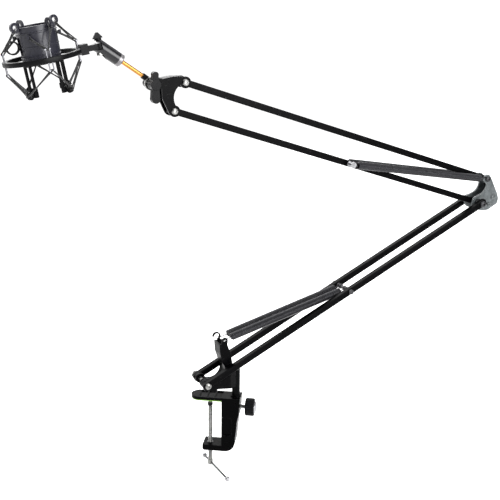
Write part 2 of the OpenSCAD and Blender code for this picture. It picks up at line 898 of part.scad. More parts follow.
module barrel_collar() {
    color([0.35, 0.37, 0.38])
        in_rod()
            translate([0, 0, barrel_start])
                difference() {
                    union() {
                        cylinder(r1 = barrel_d / 2 - 1, r2 = barrel_d / 2, h = 1);
                        translate([0, 0, 1]) cylinder(r = barrel_d / 2, h = 3);
                    }
                    translate([0, 0, -1]) cylinder(r = rod_d / 2 + fit, h = 9);
                }
}

// ---------- shock mount ring ----------

module mount_ring() {
    color([0.07, 0.07, 0.08])
        in_mount()
            difference() {
                translate([0, 0, -ring_h / 2]) cylinder(r = ring_d / 2, h = ring_h, $fn = 96);
                translate([0, 0, -ring_h]) cylinder(r = ring_in, h = 2 * ring_h, $fn = 96);
                for (k = [0 : 3], s = [-1, 1])
                    rotate([0, 0, k * 90])
                        translate([ring_d / 2 - 2, s * (ring_d / 2 - 2) * sin(3), -5])
                            cylinder(r = 0.6 + seat, h = 10);
            }
}

// wire staples through the ring that hold the elastic above and below it
module ring_hooks() {
    r = ring_d / 2 - 2;
    half = r * sin(3);
    color([0.3, 0.3, 0.3])
        in_mount()
            for (k = [0 : 3])
                rotate([0, 0, k * 90]) {
                    for (s = [-1, 1])
                        translate([r, s * half, -hook_h]) cylinder(r = 0.6, h = 2 * hook_h);
                    for (s = [-1, 1])
                        translate([r - 0.5, -half - 0.9, s * (hook_h + 0.4) - 0.5]) cube([1, 2 * half + 1.8, 1]);
                }
}

module mount_arm() {
    root = ring_d / 2 - 0.5;
    color([0.08, 0.08, 0.09])
        in_mount()
            difference() {
                union() {
                    translate([mount_reach, 0, -eye_h / 2]) cylinder(r = 4.8, h = eye_h);
                    translate([root, -4.2, -eye_h / 2]) cube([mount_reach - root, 8.4, eye_h]);
                    translate([root - 1, -5.4, -4.6]) cube([mount_reach - root - 10, 10.8, 9.2]);
                }
                translate([0, 0, -20]) cylinder(r = ring_d / 2 + seat, h = 40, $fn = 96);
                translate([mount_reach, 0, -20]) cylinder(r = 1.9 + fit, h = 40);
            }
}

module wing_screw() {
    top = fork_gap + fork_t + 0.1;
    color([0.1, 0.1, 0.1])
        in_mount()
            translate([mount_reach, 0, 0]) {
                translate([0, 0, -8]) cylinder(r = 1.9, h = top + 9);
                translate([0, 0, top]) cylinder(r = 3.2, h = 1.6);
                translate([0, 1.2, top + 1.5]) rotate([90, 0, 0]) linear_extrude(2.4)
                    polygon([[-4.6, 0], [4.6, 0], [4, 1.2], [1, 5.2], [-1, 5.2], [-4, 1.2]]);
            }
}

module wing_nut() {
    color([0.15, 0.15, 0.15])
        in_mount()
            translate([mount_reach, 0, -fork_gap - fork_t - 2.5]) hex_nut(3.6, 2.4, 1.9 + fit);
}

// ---------- cradle ----------

module shell_profile() {
    polygon([
        [shell_in, -2], [shell_r, -2], [shell_r + 0.5, -1.4], [shell_r + shell_flare, shell_top - 6],
        [shell_r + shell_flare + 0.6, shell_top - 5.6], [shell_r + shell_flare + 0.6, shell_top - 4.8],
        [shell_r + shell_flare, shell_top - 4.4], [shell_r + shell_flare + 0.2, shell_top],
        [shell_in, shell_top]
    ]);
}

// an eye that stands out from the shell's rim
module rim_loop() {
    translate([loop_r, 0, loop_z])
        rotate([90, 0, 0])
            difference() {
                translate([0, 0, -1.1]) cylinder(r = 4.4, h = 2.2, $fn = 32);
                translate([0, 0, -2]) cylinder(r = 2.1, h = 4, $fn = 32);
            }
}

module side_tab() {
    translate([shell_r, -1.1, shell_top - 10]) cube([5, 2.2, 1.8]);
    translate([shell_r + 4, -1.1, shell_top - 10]) cube([1.5, 2.2, 3.2]);
}

module cradle_shell() {
    color([0.08, 0.08, 0.1])
        in_mount()
            difference() {
                union() {
                    rotate_extrude($fn = 96) shell_profile();
                    for (k = [0 : 3]) {
                        rotate([0, 0, k * 90 + loop_turn]) rim_loop();
                        rotate([0, 0, k * 90 + tab_turn]) side_tab();
                    }
                }
                cylinder(r = shell_in, h = 80, $fn = 96);
                translate([-30, -6, 5]) cube([20, 12, 15]);
            }
}

// one leg: two upright bars, a cross block with a hole, and an outward eye
module cradle_leg() {
    for (s = [-1, 1])
        translate([leg_r - 2, s * 2.9 - 0.9, -leg_drop]) cube([2, 1.8, leg_drop - 2.4]);
    translate([shell_in - 1.2, -3.8, -4.6]) cube([leg_r - shell_in + 1.2, 7.6, 2.6]);
    difference() {
        translate([leg_r - 2.8, -4.2, -leg_drop - 1]) cube([3, 8.4, 5]);
        translate([leg_r - 6, 0, -leg_drop + 1.5]) rotate([0, 90, 0]) cylinder(r = 1.3, h = 10);
    }
    translate([leg_r + 3.2, 1.1, -leg_drop + 1.5])
        rotate([90, 0, 0])
            difference() {
                cylinder(r = 3.5, h = 2.2, $fn = 32);
                translate([0, 0, -1]) cylinder(r = 2.1, h = 5, $fn = 32);
            }
}

module cradle_legs() {
    color([0.07, 0.07, 0.08])
        in_mount() {
            difference() {
                translate([0, 0, -4.6]) cylinder(r = shell_r, h = 2.6, $fn = 96);
                translate([0, 0, -6]) cylinder(r = 13.6, h = 6, $fn = 96);
            }
            for (k = [0 : 3]) rotate([0, 0, k * 90 + leg_turn]) cradle_leg();
        }
}

module jaw_pin() {
    color([0.6, 0.6, 0.6])
        in_mount()
            translate([jaw_pin_x, 0, -1.9]) cylinder(r = 0.8, h = shell_top + 0.9);
}

// half sleeve on the +y side, from z0 to z1, clear of the hinge side by back degrees
module half_sleeve(ro, ri, z0, z1, gap) {
    translate([0, 0, z0])
        rotate([0, 0, gap])
            rotate_extrude(angle = 180 - 2 * gap, $fn = 96)
                translate([ri, 0]) square([ro - ri, z1 - z0]);
}

// squeeze handle: a wire loop behind the hinge
module handle() {
    translate([jaw_pin_x - 3.2 - handle_r, 2.4, 12.5]) rotate([90, 0, 0])
        rotate_extrude($fn = 48) translate([handle_r, 0]) circle(r = wire_d / 2, $fn = 20);
    translate([jaw_pin_x - 3.6, 1.6, 11.4]) cube([4, 1.6, 2.2]);
}

module jaw(z_low, z_high) {
    difference() {
        union() {
            half_sleeve(jaw_out, jaw_in, 0, 26, 8);
            for (z = [z_low, z_high]) {
                translate([jaw_pin_x, 0, z]) cylinder(r = 1.2, h = 3);
                translate([jaw_pin_x - 0.4, 0, z]) cube([1.8, 3.2, 3]);
            }
            handle();
            translate([jaw_pin_x - 0.6, 1.6, 10.4]) cube([2, 2.4, 4.2]);
        }
        translate([jaw_pin_x, 0, -10]) cylinder(r = 0.8 + fit, h = 60);
    }
}

module jaw_front() {
    color([0.1, 0.1, 0.12]) in_mount() mirror([0, 1, 0]) jaw(1, 19);
}

module jaw_back() {
    color([0.1, 0.1, 0.12]) in_mount() jaw(4.3, 15.7);
}

module jaw_pad() {
    half_sleeve(jaw_in, mic_d / 2, 2, 24, 10);
}

module jaw_pad_front() {
    color([0.2, 0.2, 0.2]) in_mount() mirror([0, 1, 0]) jaw_pad();
}

module jaw_pad_back() {
    color([0.2, 0.2, 0.2]) in_mount() jaw_pad();
}

// ---------- elastic ----------

function polar(r, a, z) = [r * cos(a), r * sin(a), z];

// start of a strand beside the staple of station k, on side s
function strand_start(k, s, z) = polar(ring_d / 2 - 0.2, k * 90 + s * 1.9, z);

module elastic_upper() {
    color([0.05, 0.05, 0.05])
        in_mount() for (k = [0 : 3]) {
            eye = polar(loop_r, k * 90 + loop_turn, loop_z);
            start = strand_start(k, 1, hook_h);
            rod(start, eye + 5 * (start - eye) / norm(start - eye), elastic_d / 2);
            rod(strand_start(k, -1, hook_h), polar(shell_r + 7, k * 90 + tab_turn, shell_top - 10.6), elastic_d / 2);
        }
}

module elastic_lower() {
    color([0.05, 0.05, 0.05])
        in_mount() for (k = [0 : 3], s = [-1, 1])
            rod(strand_start(k, s, -hook_h),
                polar(leg_r + 8.2, k * 90 + leg_turn + 45 * (s - 1) - s * 2.2, -leg_drop + 2.4), elastic_d / 2);
}

clamp_body();
table_pad();
threaded_insert();
socket_bush();
screw_pad();
clamp_screw();
tommy_bar();
tommy_bar_balls();
lock_screw();
lock_knob();
lock_knob_cap();
base_bracket();
cable_hook();
pivot_post();
base_pivot_bolt();
base_pivot_nut();
base_spacers();
lower_tube_front();
lower_tube_back();
lower_tube_plugs();
spring_anchor_pin();
lower_springs();
lower_spring_hooks();
elbow_bracket();
elbow_bolts();
elbow_nuts();
elbow_spacers();
elbow_rivets();
upper_tube_top();
upper_tube_bottom();
top_tube_plugs();
bottom_tube_plugs();
upper_spring_pin();
upper_springs();
upper_spring_hooks();
head_bracket();
head_bolts();
head_nuts();
tilt_knob();
tilt_bolt();
tilt_disc();
tilt_lug();
tilt_rod();
barrel();
barrel_collar();
mount_ring();
ring_hooks();
mount_arm();
wing_screw();
wing_nut();
cradle_shell();
cradle_legs();
jaw_pin();
jaw_front();
jaw_back();
jaw_pad_front();
jaw_pad_back();
elastic_upper();
elastic_lower();
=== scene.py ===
import json
import math

import bmesh
import bpy
import numpy as np
from mathutils import Matrix, Vector


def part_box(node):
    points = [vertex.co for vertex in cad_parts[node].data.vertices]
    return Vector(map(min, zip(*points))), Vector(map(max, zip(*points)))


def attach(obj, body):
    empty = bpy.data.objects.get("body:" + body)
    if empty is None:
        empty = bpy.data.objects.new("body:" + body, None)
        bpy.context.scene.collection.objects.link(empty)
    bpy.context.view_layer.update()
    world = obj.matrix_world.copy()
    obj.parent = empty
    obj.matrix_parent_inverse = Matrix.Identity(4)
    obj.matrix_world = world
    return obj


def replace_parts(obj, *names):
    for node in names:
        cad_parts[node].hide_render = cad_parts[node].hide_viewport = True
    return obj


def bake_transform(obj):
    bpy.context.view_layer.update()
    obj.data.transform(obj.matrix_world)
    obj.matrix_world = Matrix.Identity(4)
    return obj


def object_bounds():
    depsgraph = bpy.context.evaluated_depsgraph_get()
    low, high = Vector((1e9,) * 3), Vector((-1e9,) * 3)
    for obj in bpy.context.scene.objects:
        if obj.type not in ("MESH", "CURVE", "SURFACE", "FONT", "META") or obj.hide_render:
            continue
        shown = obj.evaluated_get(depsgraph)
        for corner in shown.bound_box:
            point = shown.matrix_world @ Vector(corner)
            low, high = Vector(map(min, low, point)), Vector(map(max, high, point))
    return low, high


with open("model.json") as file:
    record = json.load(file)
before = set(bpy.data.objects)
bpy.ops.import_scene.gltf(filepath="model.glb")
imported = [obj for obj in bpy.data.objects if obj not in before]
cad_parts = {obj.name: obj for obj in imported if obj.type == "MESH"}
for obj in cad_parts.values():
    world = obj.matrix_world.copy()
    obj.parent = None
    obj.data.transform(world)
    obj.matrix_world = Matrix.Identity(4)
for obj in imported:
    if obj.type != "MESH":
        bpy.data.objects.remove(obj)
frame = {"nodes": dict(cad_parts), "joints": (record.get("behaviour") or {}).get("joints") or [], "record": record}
CAD_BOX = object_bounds()

MM = 0.001
JOINTS = {j["name"]: j for j in frame["joints"]}
MOUNTS = {m["name"]: m for m in frame["record"]["mounts"]}
UP = Vector((0, 0, 1))


# ---------- places in the frame ----------

def joint_at(name):
    return Vector(JOINTS[name]["pos_m"])


def frame_matrix(origin, x, y, z):
    m = Matrix((x, y, z)).transposed().to_4x4()
    m.translation = origin
    return m


def box_centre(node):
    low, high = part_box(node)
    return (low + high) / 2


RING_AXIS = Vector(JOINTS["cradle_float"]["axis"]).normalized()
RING_SIDE = Vector((0, 1, 0))
RING_OUT = RING_SIDE.cross(RING_AXIS)
CLIP = MOUNTS["mic_clamp"]
RING_CENTRE = Vector(CLIP["pos_m"]) - RING_AXIS * (13 * MM)
MOUNT = frame_matrix(RING_CENTRE, RING_OUT, RING_SIDE, RING_AXIS)

ARM_Y = joint_at("base_swivel").y
CLAMP_OUT = Vector(JOINTS["lock_knob_turn"]["axis"])
CLAMP = frame_matrix(Vector((0, 0, 0)), CLAMP_OUT, UP.cross(CLAMP_OUT), UP)
TOMMY_OUT = Vector(JOINTS["tommy_slide"]["axis"])


# ---------- materials ----------

class Nodes:
    """A short way to write a node tree."""

    def __init__(self, tree):
        self.tree = tree
        tree.nodes.clear()

    def add(self, kind, inputs=None, **settings):
        node = self.tree.nodes.new(kind)
        for key, value in settings.items():
            setattr(node, key, value)
        for key, value in (inputs or {}).items():
            if isinstance(value, bpy.types.NodeSocket):
                self.tree.links.new(value, node.inputs[key])
            else:
                node.inputs[key].default_value = value
        return node

    def math(self, operation, a, b=0.0):
        return self.add("ShaderNodeMath", {0: a, 1: b}, operation=operation).outputs[0]

    def spread(self, value, low, high, out_low, out_high):
        return self.add("ShaderNodeMapRange", {
            "Value": value, "From Min": low, "From Max": high,
            "To Min": out_low, "To Max": out_high}).outputs[0]

    def mix(self, factor, a, b):
        node = self.add("ShaderNodeMix", data_type="RGBA")
        for key, value in ((0, factor), (6, a), (7, b)):
            if isinstance(value, bpy.types.NodeSocket):
                self.tree.links.new(value, node.inputs[key])
            else:
                node.inputs[key].default_value = value
        return node.outputs[2]

    def noise(self, coords, scale, detail=4.0, rough=0.55):
        return self.add("ShaderNodeTexNoise", {
            "Vector": coords, "Scale": scale, "Detail": detail, "Roughness": rough}).outputs[0]


def rgba(colour):
    return (*colour, 1.0)


def stretched(nodes, coords, axis, ratio):
    """Object coordinates squeezed along an axis, so that noise drawn in them runs along it."""
    turn = Vector(axis).rotation_difference(Vector((1, 0, 0))).to_euler()
    turned = nodes.add("ShaderNodeVectorRotate", {"Vector": coords, "Rotation": turn},
                       rotation_type="EULER_XYZ").outputs[0]
    return nodes.add("ShaderNodeMapping", {"Vector": turned, "Scale": (ratio, 1, 1)}).outputs[0]


def surface(name, colour, rough, metallic=0.0, specular=0.5, lighter=1.5, patch=90.0, grain=1800.0,
            bump=0.02, rough_spread=0.08, wear=None, wear_amount=0.0, edge=0.35, coat=0.0,
            grain_axis=None, grain_ratio=0.06, scratch=0.0):
    """Paint, plastic, rubber or metal: mottled colour, uneven roughness, grain in the bump,
    soft edges, and wear where edges stand out."""
    mat = bpy.data.materials.new(name)
    mat.use_nodes = True
    n = Nodes(mat.node_tree)
    coords = n.add("ShaderNodeTexCoord").outputs["Object"]
    fine = stretched(n, coords, grain_axis, grain_ratio) if grain_axis is not None else coords
    cloud = n.noise(coords, patch, 5.0)
    grains = n.noise(fine, grain, 3.0, 0.6)
    tint = n.spread(cloud, 0.3, 0.7, 0.0, 1.0)
    base = n.mix(tint, rgba(colour), rgba([min(1.0, c * lighter) for c in colour]))
    rough_value = n.math("ADD", n.spread(cloud, 0.3, 0.7, rough - rough_spread, rough + rough_spread),
                         n.spread(grains, 0.3, 0.7, -rough_spread / 3, rough_spread / 3))
    soft_edge = n.add("ShaderNodeBevel", {"Radius": edge * MM}, samples=6).outputs[0]
    if wear is not None:
        sharp = n.add("ShaderNodeNewGeometry").outputs["Normal"]
        wide = n.add("ShaderNodeBevel", {"Radius": edge * 1.6 * MM}, samples=6).outputs[0]
        lean = n.add("ShaderNodeVectorMath", {0: sharp, 1: wide}, operation="DOT_PRODUCT").outputs["Value"]
        on_edge = n.spread(lean, 0.995, 0.86, 0.0, 1.0)
        chips = n.spread(n.noise(coords, 420.0, 6.0, 0.7), 0.46, 0.62, 0.0, 1.0)
        mask = n.math("MULTIPLY", n.math("MULTIPLY", on_edge, chips), wear_amount)
        base = n.mix(mask, base, rgba(wear))
    if scratch:
        streaks = n.noise(stretched(n, coords, (0.8, 0.3, 0.5), 0.03), 700.0, 2.0, 0.5)
        mark = n.math("MULTIPLY", n.spread(streaks, 0.66, 0.72, 0.0, 1.0), scratch)
        base = n.mix(mark, base, rgba([min(1.0, c * 4 + 0.02) for c in colour]))
    height = n.math("ADD", grains, n.math("MULTIPLY", cloud, 0.6))
    normal = n.add("ShaderNodeBump", {"Height": height, "Strength": 0.6, "Distance": bump * MM,
                                      "Normal": soft_edge}).outputs[0]
    shader = n.add("ShaderNodeBsdfPrincipled", {
        "Base Color": base, "Roughness": rough_value, "Metallic": metallic,
        "Specular IOR Level": specular, "Coat Weight": coat, "Coat Roughness": 0.12, "Normal": normal})
    n.add("ShaderNodeOutputMaterial", {"Surface": shader.outputs[0]})
    return mat


def woven(name, colour, fleck):
    """A braided cover: two sets of ridges that cross at a slant, drawn in the tube's own UVs."""
    mat = bpy.data.materials.new(name)
    mat.use_nodes = True
    n = Nodes(mat.node_tree)
    uv = n.add("ShaderNodeTexCoord").outputs["UV"]
    waves = []
    for slope in (1, -1):
        turned = n.add("ShaderNodeMapping", {"Vector": uv, "Rotation": (0, 0, slope * math.radians(42)),
                                             "Scale": (1, 1, 1)}).outputs[0]
        wave = n.add("ShaderNodeTexWave", {"Vector": turned, "Scale": 1.6, "Distortion": 0.3},
                     wave_type="BANDS", bands_direction="X").outputs["Fac"]
        waves.append(wave)
    ridge = n.math("MAXIMUM", waves[0], waves[1])
    fuzz = n.noise(uv, 9.0, 4.0, 0.7)
    base = n.mix(n.math("MULTIPLY", ridge, n.spread(fuzz, 0.35, 0.65, 0.3, 1.0)), rgba(colour), rgba(fleck))
    height = n.math("ADD", ridge, n.math("MULTIPLY", fuzz, 0.4))
    normal = n.add("ShaderNodeBump", {"Height": height, "Strength": 0.8, "Distance": 0.06 * MM}).outputs[0]
    shader = n.add("ShaderNodeBsdfPrincipled", {
        "Base Color": base, "Roughness": n.spread(fuzz, 0.3, 0.7, 0.62, 0.85), "Specular IOR Level": 0.3,
        "Sheen Weight": 0.15, "Normal": normal})
    n.add("ShaderNodeOutputMaterial", {"Surface": shader.outputs[0]})
    return mat


ROD_AXIS = Vector(JOINTS["barrel_spin"]["axis"])
MATS = {
    "black_paint": surface("black_paint", (0.0005, 0.0005, 0.0007), 0.3, specular=0.032, lighter=1.5,
                           grain=1500, bump=0.03, wear=(0.06, 0.06, 0.065), wear_amount=0.5, scratch=0.3),
    "cast_black": surface("cast_black", (0.0004, 0.0004, 0.0005), 0.3, specular=0.018, lighter=1.6,
                          patch=140, grain=1100, bump=0.05, wear=(0.05, 0.05, 0.055), wear_amount=0.4,
                          edge=0.6),
    "worn_grey": surface("worn_grey", (0.05, 0.056, 0.058), 0.38, metallic=0.35, specular=0.5, lighter=2.2,
                         patch=190, wear=(0.34, 0.36, 0.35), wear_amount=0.9, edge=0.5, scratch=0.5),
    "pad_rubber": surface("pad_rubber", (0.10, 0.19, 0.035), 0.62, specular=0.2, lighter=1.5, grain=900,
                          bump=0.06),
    "black_plastic": surface("black_plastic", (0.0016, 0.0016, 0.002), 0.38, specular=0.08, lighter=1.4,
                             grain=1300, bump=0.035, edge=0.4),
    "black_gloss": surface("black_gloss", (0.003, 0.003, 0.004), 0.2, specular=0.16, lighter=1.5, grain=700,
                           bump=0.012, coat=0.35, rough_spread=0.05),
    "shell_gloss": surface("shell_gloss", (0.008, 0.008, 0.013), 0.36, metallic=0.1, specular=0.3,
                           lighter=1.4, patch=60, grain=900, bump=0.012, coat=0.18, rough_spread=0.04),
    "zinc_steel": surface("zinc_steel", (0.18, 0.18, 0.175), 0.3, metallic=1.0, lighter=1.3, patch=260,
                          grain=2200, bump=0.012, edge=0.25),
    "chrome_trim": surface("chrome_trim", (0.28, 0.28, 0.29), 0.18, metallic=1.0, lighter=1.15, patch=200,
                           grain=2600, bump=0.005, rough_spread=0.05),
    "drawn_wire": surface("drawn_wire", (0.14, 0.14, 0.15), 0.34, metallic=1.0, lighter=1.3, patch=300,
                          bump=0.01, edge=0.1),
    "brass_rod": surface("brass_rod", (0.30, 0.145, 0.036), 0.26, metallic=1.0, lighter=1.2, patch=160,
                         grain=1500, bump=0.02, grain_axis=ROD_AXIS, grain_ratio=0.05),
    "dark_steel": surface("dark_steel", (0.03, 0.03, 0.032), 0.34, metallic=0.75, specular=0.5, lighter=1.5,
                          patch=240, grain=1700, bump=0.015, edge=0.15),
    "spring_steel": surface("spring_steel", (0.034, 0.034, 0.037), 0.26, metallic=0.9, specular=0.5,
                            lighter=1.12, patch=30, grain=2600, bump=0.004, rough_spread=0.04, edge=0.1),
    "collar_grey": surface("collar_grey", (0.12, 0.115, 0.12), 0.3, metallic=0.6, lighter=1.4, patch=240,
                           grain=1700, bump=0.015, edge=0.3),
    "bush_plastic": surface("bush_plastic", (0.72, 0.72, 0.70), 0.5, specular=0.4, lighter=1.1),
    "grip_rubber": surface("grip_rubber", (0.014, 0.014, 0.014), 0.75, specular=0.25, grain=1500,
                           bump=0.08),
    "elastic": woven("elastic", (0.002, 0.002, 0.002), (0.013, 0.013, 0.014)),
}
OWN_FINISH = {
    "mount_ring": "black_plastic", "cradle_shell": "shell_gloss", "elbow_bolts": "dark_steel",
    "barrel_collar": "collar_grey", "ring_hooks": "drawn_wire", "tommy_bar": "dark_steel",
    "socket_bush": "black_plastic", "threaded_insert": "dark_steel",
    "spring_anchor_pin": "dark_steel", "tilt_disc": "zinc_steel",
}


def dress_cad_nodes():
    """Every CAD node gets its record slot's material, or one of its own where the slot spans two looks."""
    for part in frame["record"]["subparts"]:
        obj = frame["nodes"][part["node"]]
        mat = MATS[OWN_FINISH.get(part["node"], part["material_slot"])]
        if not obj.material_slots:
            obj.data.materials.append(mat)
        for s in obj.material_slots:
            s.material = mat


# ---------- mesh helpers ----------

PATH_STEP = 0.35


def add_piece(name, verts, faces, mat, slot, uvs=None):
    """A smooth-shaded mesh object of its own, with its material and outward normals; slot is not used."""
    mesh = bpy.data.meshes.new(name)
    mesh.from_pydata([tuple(v) for v in verts], [], [tuple(map(int, f)) for f in faces])
    mesh.validate()
    mesh.polygons.foreach_set("use_smooth", [True] * len(mesh.polygons))
    if uvs is not None:
        layer = mesh.uv_layers.new(name="UVMap")
        at = np.array([uvs[loop.vertex_index] for loop in mesh.loops], float)
        layer.data.foreach_set("uv", at.ravel())
    shape = bmesh.new()
    shape.from_mesh(mesh)
    bmesh.ops.recalc_face_normals(shape, faces=shape.faces)
    shape.to_mesh(mesh)
    shape.free()
    mesh.materials.append(mat)
    obj = bpy.data.objects.new(name, mesh)
    bpy.context.scene.collection.objects.link(obj)
    return obj


def tube(path, radius, sides=10, closed=False):
    """(vertices, faces, uvs) of a round tube along a path, in metres; uvs are in millimetres."""
    p = np.array([list(v) for v in path], float)
    count = len(p)
    if closed:
        t = np.roll(p, -1, 0) - np.roll(p, 1, 0)
    else:
        t = np.gradient(p, axis=0)
    t /= np.linalg.norm(t, axis=1)[:, None]
    start = np.cross(t[0], [0.31, 0.52, 0.79])
    n = np.empty_like(p)
    n[0] = start / np.linalg.norm(start)
    for i in range(1, count):
        v = n[i - 1] - t[i] * np.dot(n[i - 1], t[i])
        n[i] = v / np.linalg.norm(v)
    b = np.cross(t, n)
    if closed:
        v = n[-1] - t[0] * np.dot(n[-1], t[0])
        slip = math.atan2(np.dot(v, b[0]), np.dot(v, n[0]))
        turn = -slip * np.arange(count) / count
        n, b = (n * np.cos(turn)[:, None] + b * np.sin(turn)[:, None],
                b * np.cos(turn)[:, None] - n * np.sin(turn)[:, None])
    a = np.linspace(0, 2 * math.pi, sides, endpoint=False)
    rings = p[:, None] + radius * (np.cos(a)[None, :, None] * n[:, None]
                                   + np.sin(a)[None, :, None] * b[:, None])
    verts = rings.reshape(-1, 3)
    length = np.concatenate([[0], np.cumsum(np.linalg.norm(np.diff(p, axis=0), axis=1))])
    uvs = np.stack([np.tile(a / (2 * math.pi) * 2 * math.pi * radius / MM, count),
                    np.repeat(length / MM, sides)], 1)
    spans = count if closed else count - 1
    faces = [(i * sides + k, i * sides + (k + 1) % sides,
              ((i + 1) % count) * sides + (k + 1) % sides, ((i + 1) % count) * sides + k)
             for i in range(spans) for k in range(sides)]
    if not closed:
        for ring, way in ((0, -1), (count - 1, 1)):
            verts = np.vstack([verts, p[ring] + t[ring] * radius * 0.5 * way])
            uvs = np.vstack([uvs, [0, length[ring] / MM]])
            tip = len(verts) - 1
            faces += [(ring * sides + k, ring * sides + (k + 1) % sides, tip) for k in range(sides)]
    return verts, faces, uvs


def smooth_path(points):
    """A Catmull-Rom curve through the points, in steps of about PATH_STEP."""
    p = [Vector(v) for v in points]
    p = [p[0] * 2 - p[1]] + p + [p[-1] * 2 - p[-2]]
    out = []
    for i in range(1, len(p) - 2):
        count = max(2, int((p[i + 1] - p[i]).length / (PATH_STEP * MM)))
        for k in range(count):
            u = k / count
            a, b, c, d = p[i - 1], p[i], p[i + 1], p[i + 2]
            out.append(0.5 * ((b * 2) + (c - a) * u + (a * 2 - b * 5 + c * 4 - d) * u * u
                              + (b * 3 - a - c * 3 + d) * u ** 3))
    return out + [p[-2]]


AXIS = 0.01  # the nearest a lathed profile comes to its own axis, in mm


def lathe(profile, matrix, sides=96, start=0.0, sweep=360.0):
    """(vertices, faces) of a closed profile of (radius, height) in mm, turned about matrix's z."""
    whole = sweep >= 360
    steps = sides if whole else sides + 1
    angles = [math.radians(start + sweep * i / sides) for i in range(steps)]
    verts = [matrix @ Vector((r * MM * math.cos(a), r * MM * math.sin(a), z * MM))
             for a in angles for r, z in profile]
    m = len(profile)
    faces = [(i * m + k, i * m + (k + 1) % m,
              ((i + 1) % steps) * m + (k + 1) % m, ((i + 1) % steps) * m + k)
             for i in range(sides) for k in range(m)]
    if not whole:
        faces += [tuple(range(m)), tuple((steps - 1) * m + k for k in range(m))]
    return verts, faces


def rounded_profile(r0, r1, z0, z1, edge, steps=4):
    """Profile of a bar with rounded corners, between two radii and two heights, in mm."""
    out = []
    for cx, cz, first in ((r1 - edge, z1 - edge, 0), (r0 + edge, z1 - edge, 90),
                          (r0 + edge, z0 + edge, 180), (r1 - edge, z0 + edge, 270)):
        for i in range(steps + 1):
            a = math.radians(first + 90 * i / steps)
            out.append((cx + edge * math.cos(a), cz + edge * math.sin(a)))
    return out


def sharp_smooth(obj, angle=40.0):
    """Smooth shading that keeps edges sharper than angle."""
    limit = math.radians(angle)
    shape = bmesh.new()
    shape.from_mesh(obj.data)
    for e in shape.edges:
        if len(e.link_faces) == 2 and e.calc_face_angle(0.0) > limit:
            e.smooth = False
    shape.to_mesh(obj.data)
    shape.free()
    return obj


# ---------- springs ----------

SPRING_R = 4.0
SPRING_WIRE = 0.5


def coil_path(a, b, turns, wire_r, outer_r):
    """Centreline of a helix from a to b."""
    axis = (b - a).normalized()
    side = axis.cross(Vector((0, 1, 0))).normalized()
    other = axis.cross(side)
    r = (outer_r - wire_r) * MM
    per_turn = 20
    total = int(turns * per_turn)
    out = []
    for i in range(total + 1):
        w = 2 * math.pi * i / per_turn
        taper = min(1.0, i / (per_turn * 0.75), (total - i) / (per_turn * 0.75))
        reach = r * (0.35 + 0.65 * taper)
        out.append(a + (b - a) * (i / total) + side * (reach * math.cos(w)) + other * (reach * math.sin(w)))
    return out


def eye_path(centre, towards, radius, y_way):
    """Wire from the coil's axis, once round a pin along y at centre, ending just short of itself."""
    out_dir = (centre - towards).normalized()
    across = Vector((0, 1, 0)).cross(out_dir).normalized()
    r = radius * MM
    points = []
    for i in range(17):
        a = math.radians(-60 + 290 * i / 16)
        points.append(centre - out_dir * (r * math.cos(a)) + across * (r * math.sin(a))
                      + Vector((0, y_way * 0.35 * MM * (i / 16 - 0.5), 0)))
    return points


def hole_hook_path(hole, towards, side):
    """Wire from the coil's axis, through an opening in a cheek along y, and back outside it."""
    out_dir = (hole - towards).normalized()
    through = Vector((0, side, 0))
    return [hole - out_dir * 2.2 * MM, hole - out_dir * 0.7 * MM + through * 0.3 * MM,
            hole + through * 1.7 * MM + out_dir * 0.1 * MM, hole + through * 3.2 * MM - out_dir * 0.5 * MM,
            hole + through * 3.6 * MM - out_dir * 1.8 * MM, hole + through * 3.4 * MM - out_dir * 3.0 * MM]


def make_spring(name, near, far, lead_near, lead_far, near_hook, far_hook, nodes):
    """One extension spring: hook at the hinge, closed coil, eye round the far pin."""
    axis = (far - near).normalized()
    a, b = near + axis * lead_near * MM, far - axis * lead_far * MM
    turns = round((b - a).length / MM / (2 * SPRING_WIRE * 1.02))
    coil = coil_path(a, b, turns, SPRING_WIRE, SPRING_R)
    first = smooth_path(list(near_hook)[::-1] + [a - axis * 0.9 * MM, coil[0]])
    last = smooth_path([coil[-1], b + axis * 0.9 * MM] + list(far_hook))
    verts, faces, uvs = tube(first[:-1] + coil + last[1:], SPRING_WIRE * MM, sides=8)
    spring = add_piece(name, verts, faces, MATS["spring_steel"], "dark_steel", uvs)
    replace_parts(spring, *nodes)
    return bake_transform(spring)


def in_arm_plane(point, y):
    return Vector((point.x, ARM_Y + y * MM, point.z))


def make_springs():
    hook, anchor = joint_at("lower_spring_swing"), box_centre("spring_anchor_pin")
    top_bolt, pin = joint_at("upper_spring_swing"), box_centre("upper_spring_pin")
    for tag, side in (("front", -1), ("back", 1)):
        near, far = in_arm_plane(hook, side * 4.8), in_arm_plane(anchor, side * 5.6)
        opening = near - (far - near).normalized() * (1.7 * MM if side > 0 else 0.0)
        make_spring("lower_spring_" + tag, near, far, 7.6, 6.7, hole_hook_path(opening, far, side),
                    eye_path(far, near, 2.35, side),
                    ("lower_springs", "lower_spring_hooks"))
        near, far = in_arm_plane(top_bolt, side * 8.3), in_arm_plane(pin, side * 9.6)
        make_spring("upper_spring_" + tag, near, far, 10.1, 6.2, eye_path(near, far, 2.55, side),
                    eye_path(far, near, 2.05, side),
                    ("upper_springs", "upper_spring_hooks"))


# ---------- elastic suspension ----------

CORD_R = 0.6
LOOP_STEPS = 10
STRAND_STEPS = 24


def polar(r, degrees, z):
    a = math.radians(degrees)
    return MOUNT @ Vector((r * MM * math.cos(a), r * MM * math.sin(a), z * MM))


def half_loop(centre, across, onward, half_width, depth):
    """The turn of a doubled cord round what holds it, from one side to the other."""
    return [centre + across * (half_width * MM * math.cos(a)) + onward * (depth * MM * math.sin(a))
            for a in (math.pi * i / LOOP_STEPS for i in range(LOOP_STEPS + 1))]


